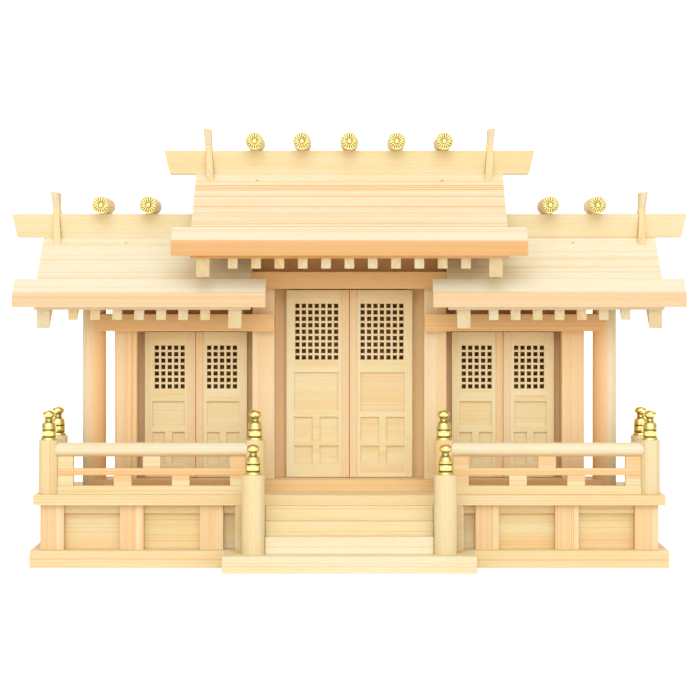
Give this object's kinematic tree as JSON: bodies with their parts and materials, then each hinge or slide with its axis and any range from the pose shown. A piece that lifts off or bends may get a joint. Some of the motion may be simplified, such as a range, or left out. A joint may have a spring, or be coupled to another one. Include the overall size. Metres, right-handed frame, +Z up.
{
  "type": "household shinto altar with three shrines",
  "caption": "Plain wood household altar: three roofed shrines with lattice doors that swing open, on a raised veranda with balustrade and stairs.",
  "frame": {"origin": "middle of the whole, front to back and side to side, at the underside of the plinth", "axes": "+X to the right seen from the front, +Y to the back, +Z up; the doors face -Y"},
  "size_m": [0.6204, 0.2242, 0.3938],
  "materials": {
    "pale_wood": "bare planed cypress",
    "warm_wood": "bare planed cypress, pinkish heartwood",
    "door_wood": "bare planed cypress",
    "gilt_metal": "polished gilt sheet"
  },
  "bodies": {
    "altar": {"plinth_front_and_back": "warm_wood", "plinth_sides": "warm_wood", "base_posts": "warm_wood", "base_rails": "pale_wood", "base_panels": "pale_wood", "veranda_floor": "pale_wood", "stair_sill": "pale_wood", "bottom_step": "pale_wood", "middle_step": "pale_wood", "top_step": "pale_wood", "stair_cheeks": "warm_wood", "newel_posts": "pale_wood", "balustrade_posts": "pale_wood", "handrails": "pale_wood", "middle_rails": "pale_wood", "lower_rails": "pale_wood", "rail_struts": "pale_wood", "post_finials": "gilt_metal", "threshold": "pale_wood", "wall_posts": "pale_wood", "round_columns": "pale_wood", "side_head_beams": "pale_wood", "centre_head_beam": "pale_wood", "door_jambs": "warm_wood", "upper_front_walls": "pale_wood", "outer_side_walls": "pale_wood", "centre_side_walls": "pale_wood", "back_walls": "pale_wood", "roof_front_boards": "pale_wood", "roof_back_boards": "pale_wood", "eave_bars": "pale_wood", "front_end_rafters": "pale_wood", "small_rafters": "pale_wood", "ridge_beams": "pale_wood", "front_chigi": "pale_wood", "back_chigi": "pale_wood", "ridge_billets": "pale_wood", "billet_caps": "gilt_metal"},
    "centre_left_door_leaf": {"centre_left_door": "door_wood"},
    "centre_right_door_leaf": {"centre_right_door": "door_wood"},
    "left_shrine_left_door_leaf": {"left_shrine_left_door": "door_wood"},
    "left_shrine_right_door_leaf": {"left_shrine_right_door": "door_wood"},
    "right_shrine_left_door_leaf": {"right_shrine_left_door": "door_wood"},
    "right_shrine_right_door_leaf": {"right_shrine_right_door": "door_wood"}
  },
  "joints": [
    {"name": "centre_left_door_hinge", "type": "hinge", "parent": "altar", "child": "centre_left_door_leaf", "pos_m": [-0.0541, 0.0016, 0.1603], "axis": [0, 0, -1], "range_deg": [0, 90]},
    {"name": "centre_right_door_hinge", "type": "hinge", "parent": "altar", "child": "centre_right_door_leaf", "pos_m": [0.0541, 0.0016, 0.1603], "axis": [0, 0, 1], "range_deg": [0, 90]},
    {"name": "left_shrine_left_door_hinge", "type": "hinge", "parent": "altar", "child": "left_shrine_left_door_leaf", "pos_m": [-0.1837, 0.0016, 0.14115], "axis": [0, 0, -1], "range_deg": [0, 90]},
    {"name": "left_shrine_right_door_hinge", "type": "hinge", "parent": "altar", "child": "left_shrine_right_door_leaf", "pos_m": [-0.0973, 0.0016, 0.14115], "axis": [0, 0, 1], "range_deg": [0, 90]},
    {"name": "right_shrine_left_door_hinge", "type": "hinge", "parent": "altar", "child": "right_shrine_left_door_leaf", "pos_m": [0.0973, 0.0016, 0.14115], "axis": [0, 0, -1], "range_deg": [0, 90]},
    {"name": "right_shrine_right_door_hinge", "type": "hinge", "parent": "altar", "child": "right_shrine_right_door_leaf", "pos_m": [0.1837, 0.0016, 0.14115], "axis": [0, 0, 1], "range_deg": [0, 90]}
  ]
}
